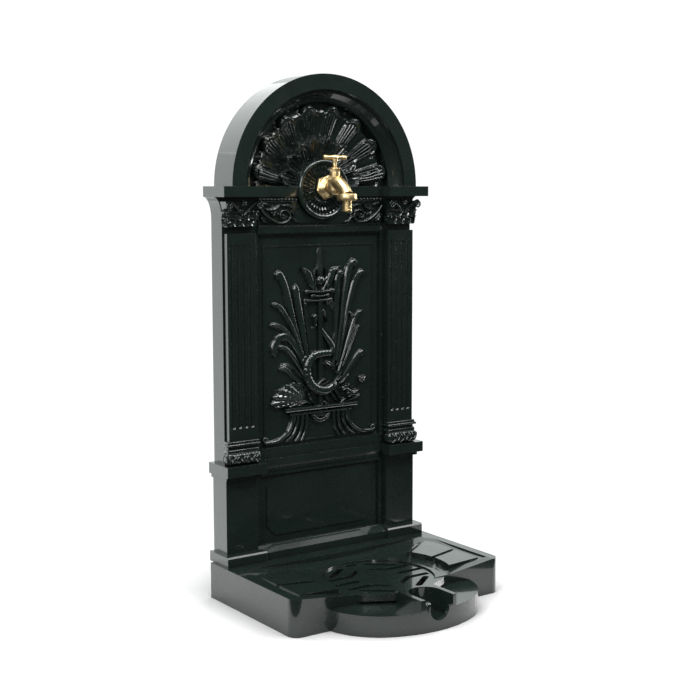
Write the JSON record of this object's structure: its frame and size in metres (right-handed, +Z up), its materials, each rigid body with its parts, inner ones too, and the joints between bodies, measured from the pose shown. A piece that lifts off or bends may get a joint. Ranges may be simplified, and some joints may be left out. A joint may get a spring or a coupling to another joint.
{
  "type": "drinking fountain",
  "caption": "Free-standing cast drinking fountain: arched pilastered column with relief panel, brass tap with tee handle, and a bowed tray with lift-out drain grate.",
  "frame": {"origin": "centre of the bounding box's footprint, on the floor under the tray", "axes": "+Z up; -Y is the front, with the tap; -X is on the left of a person facing the tap"},
  "size_m": [0.497, 0.435, 1.0399],
  "materials": {
    "green_paint": "dark green gloss paint over a cast surface",
    "brass": "cast and machined brass, lightly polished",
    "zinc_steel": "zinc-plated fasteners",
    "rubber": "matt black sealing rubber",
    "pan_casting": "dark primed casting",
    "copper_pipe": "drawn copper tube, dull"
  },
  "bodies": {
    "fountain": {"basin_tray": "green_paint", "pedestal_casting": "green_paint", "lower_panel": "green_paint", "column_casting": "green_paint", "relief_panel": "green_paint", "hood_casting": "green_paint", "frieze_panel": "green_paint", "shell_niche": "green_paint", "rosette": "green_paint", "pilaster_left": "green_paint", "pilaster_right": "green_paint", "pilaster_base_left": "green_paint", "pilaster_base_right": "green_paint", "capital_left": "green_paint", "capital_right": "green_paint", "tap_body": "brass", "bonnet": "brass", "gland_nut": "brass", "tap_back_nut": "brass", "tap_elbow": "brass", "inlet_elbow": "brass", "drain_pan_screws": "zinc_steel", "lower_panel_screws": "zinc_steel", "relief_panel_screws": "zinc_steel", "frieze_screws": "zinc_steel", "shell_screws": "zinc_steel", "rosette_screws": "zinc_steel", "ornament_screws": "zinc_steel", "tray_bolts": "zinc_steel", "tray_bolt_washers": "zinc_steel", "tray_bolt_nuts": "zinc_steel", "column_bolts": "zinc_steel", "column_bolt_nuts": "zinc_steel", "hood_bolts": "zinc_steel", "hood_bolt_nuts": "zinc_steel", "pipe_clips": "zinc_steel", "pipe_clip_screws": "zinc_steel", "tap_back_washer": "zinc_steel", "tap_gasket": "rubber", "bonnet_seal": "rubber", "gland_packing": "rubber", "drain_pan": "pan_casting", "riser_pipe": "copper_pipe"},
    "grate": {"grate_disc": "green_paint"},
    "valve": {"jumper_valve": "brass", "valve_washer": "rubber"},
    "handle": {"spindle": "brass", "tee_bar": "brass", "handle_pin": "brass"},
    "tail": {"hose_tail": "brass", "tail_washer": "rubber"},
    "union": {"union_nut": "brass"}
  },
  "joints": [
    {"name": "grate_lift", "type": "slide", "parent": "fountain", "child": "grate", "axis": [0, 0, 1], "range_m": [0, 0.08]},
    {"name": "valve_lift", "type": "slide", "parent": "fountain", "child": "valve", "axis": [0, 0, 1], "range_m": [0, 0.0054]},
    {"name": "handle_turn", "type": "hinge", "parent": "valve", "child": "handle", "pos_m": [0, 0.1245, 0.875], "axis": [0, 0, 1], "range_deg": [0, 1080]},
    {"name": "tail_drop", "type": "slide", "parent": "fountain", "child": "tail", "axis": [0, 0, -1], "range_m": [0, 0.00545]},
    {"name": "union_turn", "type": "hinge", "parent": "tail", "child": "union", "pos_m": [0, 0.0815, 0.797], "axis": [0, 0, -1], "range_deg": [0, 1080]}
  ],
  "couplings": [
    {"joint": "handle_turn", "follows": "valve_lift", "rad_per_m": 3490.7},
    {"joint": "union_turn", "follows": "tail_drop", "rad_per_m": 3458.6}
  ]
}
